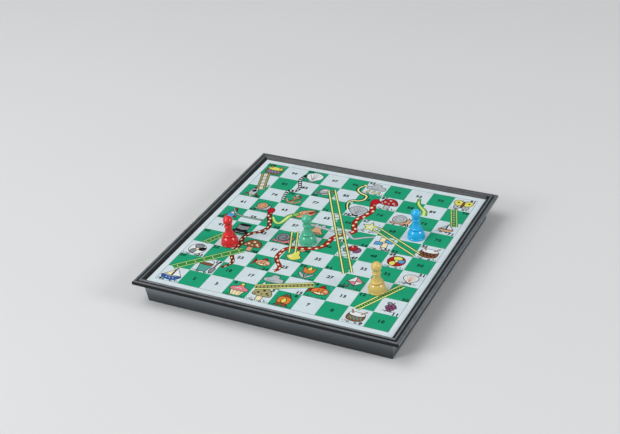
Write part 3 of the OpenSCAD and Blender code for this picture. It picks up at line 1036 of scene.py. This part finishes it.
def add_mesh(name, mesh):
    """A new object of the scene with the mesh, which is used up."""
    data = bpy.data.meshes.new(name)
    mesh.to_mesh(data)
    mesh.free()
    piece = bpy.data.objects.new(name, data)
    bpy.context.scene.collection.objects.link(piece)
    return piece


# Materials


class Finish:
    """A node material around one principled shader."""

    def __init__(self, name, **settings):
        self.material = bpy.data.materials.new(name)
        self.material.use_nodes = True
        self.tree = self.material.node_tree
        self.shader = self.tree.nodes["Principled BSDF"]
        self.place = self.node("ShaderNodeTexCoord").outputs["Object"]
        for socket, value in settings.items():
            self.shader.inputs[socket.replace("_", " ")].default_value = value

    def node(self, kind, inputs=(), **properties):
        made = self.tree.nodes.new(kind)
        for name, value in properties.items():
            setattr(made, name, value)
        for socket, value in dict(inputs).items():
            self.put(made.inputs[socket], value)
        return made

    def put(self, socket, value):
        if isinstance(value, bpy.types.NodeSocket):
            self.tree.links.new(value, socket)
        else:
            socket.default_value = value

    def noise(self, size, detail=3):
        """Soft noise whose patches are about one size wide."""
        inputs = {
            "Vector": self.place, "Scale": 1 / size, "Detail": detail,
            "Roughness": NOISE_ROUGHNESS,
        }
        return self.node("ShaderNodeTexNoise", inputs).outputs["Fac"]

    def span(self, value, low, high, start=0.35, end=0.65):
        """A value remapped from start..end to low..high, and held there."""
        inputs = {"Value": value, "From Min": start, "From Max": end, "To Min": low, "To Max": high}
        return self.node("ShaderNodeMapRange", inputs).outputs["Result"]

    def blend(self, share, first, second):
        """A mix of two colours."""
        mix = self.node("ShaderNodeMix", data_type="RGBA")
        self.put(mix.inputs["Factor"], share)
        first_socket, second_socket = (socket for socket in mix.inputs if socket.type == "RGBA")
        self.put(first_socket, first)
        self.put(second_socket, second)
        return next(socket for socket in mix.outputs if socket.type == "RGBA")

    def maths(self, operation, first, second=0.0):
        made = self.node("ShaderNodeMath", operation=operation)
        self.put(made.inputs[0], first)
        self.put(made.inputs[1], second)
        return made.outputs["Value"]

    def steps(self, value, *stops):
        """A share that follows the value through stops of value and share."""
        low, high = stops[0][0], stops[-1][0]
        ramp = self.node("ShaderNodeValToRGB", {"Fac": self.span(value, 0, 1, low, high)})
        elements = ramp.color_ramp.elements
        while len(elements) < len(stops):
            elements.new(0.5)
        for element, (at, share) in zip(elements, stops):
            element.position = (at - low) / (high - low)
            element.color = (share, share, share, 1)
        return ramp.outputs["Color"]

    def level(self, share, first, second):
        """A value between two others."""
        mix = self.node("ShaderNodeMix", data_type="FLOAT")
        self.put(mix.inputs["Factor"], share)
        self.put(mix.inputs["A"], first)
        self.put(mix.inputs["B"], second)
        return mix.outputs["Result"]

    def bump(self, height, depth, normal=None):
        inputs = {"Height": height, "Distance": depth, "Strength": 1.0}
        if normal:
            inputs["Normal"] = normal
        return self.node("ShaderNodeBump", inputs).outputs["Normal"]

    def rounded(self):
        """The normal, softened across sharp edges."""
        return self.node("ShaderNodeBevel", {"Radius": EDGE_RADIUS}, samples=4).outputs["Normal"]

    def lead(self, **sockets):
        """Lead values into sockets of the shader."""
        for name, value in sockets.items():
            self.put(self.shader.inputs[name.replace("_", " ")], value)


def shade(colour, by):
    """A colour made darker or paler by a factor."""
    return tuple(min(1, channel * by) for channel in colour[:3]) + (1,)


def ink_material(name):
    """Ink under a thin film, a little uneven in tone and in shine."""
    colour = linear(INKS[name])
    finish = Finish(f"ink_{name}", Specular_IOR_Level=0.08)
    tone = finish.span(finish.noise(9 * MM), 0, 1, 0.3, 0.7)
    grain = finish.noise(0.6 * MM, 2)
    finish.lead(
        Base_Color=finish.blend(tone, shade(colour, 0.95), shade(colour, 1.04)),
        Roughness=finish.span(finish.noise(25 * MM), 0.4, 0.52),
        Normal=finish.bump(grain, 0.006 * MM),
    )
    return finish.material


def rubbed_share(finish, sides, inward):
    """How far the rim is painted paler: on its crests, as wear and painted highlight, and on its
    right edge, as painted reflection.
    """
    # Painted reflection on the right edge of the rim
    right_reflection = finish.span(
        sides["X"], 0, RIGHT_REFLECTION_STRENGTH, BOARD_EDGE - RIGHT_REFLECTION_FROM, BOARD_EDGE - RIGHT_REFLECTION_TO
    )
    behind = finish.span(sides["Y"], 0, 1, DULL_FACE - BOARD_EDGE, RIGHT_REFLECTION_END - BOARD_EDGE)
    right_reflection = finish.maths("MULTIPLY", right_reflection, behind)
    crest_wear_and_highlight = finish.maths("MAXIMUM", finish.steps(inward, *CREST_WEAR_AND_HIGHLIGHT), right_reflection)
    patches = finish.span(finish.noise(7 * MM, 5), 0.55, 1, 0.3, 0.6)
    return finish.maths("MULTIPLY", crest_wear_and_highlight, patches)


def dull_share(finish, sides, inward):
    """How dull the rim is: on the lip's front face and on the right inner wall."""
    face = finish.span(sides["Y"], 1, 0, DULL_FACE / 2 - BOARD_EDGE, DULL_FACE - BOARD_EDGE)
    right = BOARD_EDGE - DULL_WALL
    wall = finish.span(sides["X"], 0, 1, right, right + EDGE_BLUR)
    inside = finish.span(inward, 0, 1, WALL_INWARD - EDGE_BLUR, WALL_INWARD)
    return finish.maths("MAXIMUM", face, finish.maths("MULTIPLY", wall, inside))


def skirt_colour(finish, sides):
    """The skirt's colour, with painted shade by its height, painted light by the way that it faces
    and painted shade along its front.
    """
    facing = finish.node("ShaderNodeTexCoord").outputs["Normal"]
    facing = finish.node("ShaderNodeSeparateXYZ", {"Vector": facing}).outputs
    # Painted shade along the front skirt towards its right end, and painted light on the right
    # skirt
    front_shade_along = finish.span(sides["X"], 1, 1 - FRONT_PAINTED_SHADE, -BOARD_EDGE, BOARD_EDGE)
    front = finish.level(finish.span(facing["Y"], 1, 0, -0.9, -0.7), 1, front_shade_along)
    right = finish.span(facing["X"], 1, 1 + RIGHT_PAINTED_LIGHT, 0.7, 0.9)
    # Painted shadow under the lip and painted shade darker towards the bottom
    height = finish.steps(sides["Z"], *SKIRT_PAINTED_SHADE)
    tone = finish.maths("MULTIPLY", height, finish.maths("MULTIPLY", front, right))
    darker, paler = (linear(colour) for colour in SKIRT_COLOURS)
    plastic = finish.blend(finish.span(finish.noise(30 * MM), 0, 1), darker, paler)
    return finish.blend(tone, linear(SKIRT_SHADE), plastic)


def case_material():
    """Dark moulded plastic: a smooth rim, its crests worn paler with painted highlights, over a
    matt grained skirt, with painted light and shade on the skirt and painted shade in the hollows.
    """
    finish = Finish("case_plastic", Specular_IOR_Level=0.5, Coat_Roughness=0.2)
    sides = finish.node("ShaderNodeSeparateXYZ", {"Vector": finish.place}).outputs
    shifted = (finish.maths("ADD", sides[axis], shift) for axis, shift in HIGHLIGHT_SHIFT)
    across, along = (finish.maths("ABSOLUTE", side) for side in shifted)
    inward = finish.maths("SUBTRACT", BOARD_EDGE, finish.maths("MAXIMUM", across, along))
    rim = finish.span(sides["Z"], 0, 1, LIP_BOTTOM - EDGE_BLUR, LIP_BOTTOM + EDGE_BLUR)
    # Crests worn paler with painted highlights, and a painted reflection on the right edge
    worn_and_highlit = rubbed_share(finish, sides, inward)
    moulding = finish.blend(worn_and_highlit, linear(RIM_COLOUR), linear(RUBBED_AND_HIGHLIGHT_COLOUR))
    colour = finish.blend(rim, skirt_colour(finish, sides), moulding)
    # Painted shade: the colour goes darker in hollows, grooves and under the lip, by ambient
    # occlusion
    hollow_shade = finish.node("ShaderNodeAmbientOcclusion", {"Distance": HOLLOW_SHADE_REACH}, samples=8)
    unshaded_share = finish.span(hollow_shade.outputs["AO"], 0.1, 1, 0.15, 0.75)
    dull = dull_share(finish, sides, inward)
    skirt_rough = finish.span(finish.noise(12 * MM), 0.44, 0.54)
    rim_rough = finish.level(dull, finish.span(finish.noise(5 * MM, 4), 0.28, 0.4), 0.9)
    finish.lead(
        Base_Color=finish.blend(unshaded_share, linear(PAINTED_HOLLOW_SHADE), colour),
        Roughness=finish.level(rim, skirt_rough, rim_rough),
        Coat_Weight=finish.maths("MULTIPLY", rim, finish.level(dull, 0.15, 0)),
        Normal=finish.bump(finish.noise(0.35 * MM, 2), 0.012 * MM, finish.rounded()),
    )
    return finish.material


def pawn_material(name, colour):
    """Glossy moulded plastic."""
    finish = Finish(f"{name}_plastic", Specular_IOR_Level=0.5, Coat_Weight=0.4, Coat_Roughness=0.08)
    tone = finish.span(finish.noise(6 * MM), 0, 1)
    finish.lead(
        Base_Color=finish.blend(tone, shade(linear(colour), 0.94), shade(linear(colour), 1.04)),
        Roughness=finish.span(finish.noise(4 * MM), 0.2, 0.28),
        Normal=finish.bump(finish.noise(1.2 * MM, 2), 0.006 * MM, finish.rounded()),
    )
    return finish.material


def metal_material(name, colour, rough):
    """Bare or plated metal, a little uneven in tone and in shine."""
    finish = Finish(name, Metallic=1.0)
    tone = finish.span(finish.noise(5 * MM), 0, 1)
    finish.lead(
        Base_Color=finish.blend(tone, shade(linear(colour), 0.9), linear(colour)),
        Roughness=finish.span(finish.noise(2 * MM), rough, rough + METAL_SPREAD),
        Normal=finish.bump(finish.noise(0.4 * MM, 2), 0.004 * MM),
    )
    return finish.material


def dress(node, material):
    """Give a node of the frame its material here."""
    body = bpy.data.objects[node]
    for slot in body.material_slots:
        slot.link = "OBJECT"
        slot.material = material


def dress_frame():
    case = case_material()
    plate = metal_material("plate_steel", *PLATE_STEEL)
    pin = metal_material("pin_steel", *PIN_STEEL)
    magnet = metal_material("magnet_nickel", *MAGNET_NICKEL)
    for half in HALVES:
        dress(f"{half}_case", case)
        dress(f"{half}_steel_plate", plate)
        for side in ("left", "right"):
            dress(f"{half}_hinge_pin_{side}", pin)
            dress(f"{half}_closure_magnet_{side}", magnet)
    for side in ("left", "right"):
        dress(f"hinge_link_{side}", case)
    for name, colour in PAWN_COLOURS.items():
        dress(f"{name}_pawn", pawn_material(name, colour))
        dress(f"{name}_pawn_magnet", magnet)


# Studio


def add_camera():
    data = bpy.data.cameras.new("photo_camera")
    data.sensor_width = SENSOR_WIDTH_MM
    data.lens = FOCAL_PIXELS * SENSOR_WIDTH_MM / PHOTO_WIDTH
    data.clip_start, data.clip_end = CAMERA_REACH
    camera = bpy.data.objects.new("photo_camera", data)
    bpy.context.scene.collection.objects.link(camera)
    back = -CAMERA_FORWARD.normalized()
    right = CAMERA_UP.cross(back).normalized()
    up = back.cross(right)
    turn = Matrix((right, up, back)).transposed()
    camera.matrix_world = Matrix.Translation(CAMERA_AT) @ turn.to_4x4()
    bpy.context.scene.camera = camera


def add_floor():
    mesh = bmesh.new()
    bmesh.ops.create_grid(mesh, x_segments=FLOOR_CELLS, y_segments=FLOOR_CELLS, size=FLOOR_SIDE / 2)
    floor = add_mesh("floor", mesh)
    floor.location.z = -FLOOR_DROP
    finish = Finish("floor_paper", Roughness=0.9, Specular_IOR_Level=0.2)
    tone = finish.span(finish.noise(0.5), 0, 1)
    pale = linear(FLOOR_COLOUR)
    finish.lead(Base_Color=finish.blend(tone, shade(pale, 0.985), pale))
    floor.data.materials.append(finish.material)


def add_lamp(name, way, distance, size, power):
    data = bpy.data.lights.new(name, "AREA")
    data.shape = "SQUARE"
    data.size = size
    data.energy = power
    lamp = bpy.data.objects.new(name, data)
    way = Vector(way).normalized()
    lamp.location = way * distance
    lamp.rotation_euler = way.to_track_quat("Z", "Y").to_euler()
    bpy.context.scene.collection.objects.link(lamp)


def add_world():
    world = bpy.data.worlds.new("studio")
    world.use_nodes = True
    bpy.context.scene.world = world
    background = world.node_tree.nodes["Background"]
    background.inputs["Color"].default_value = (1, 1, 1, 1)
    background.inputs["Strength"].default_value = WORLD_LIGHT


def main():
    add_camera()
    bpy.context.scene.view_settings.view_transform = "Standard"
    add_world()
    for lamp in LAMPS:
        add_lamp(*lamp)
    add_floor()
    dress_frame()
    art = draw_board()
    inks = {name: ink_material(name) for name in INKS}
    for half in HALVES:
        printed_film(half, art, inks)


main()
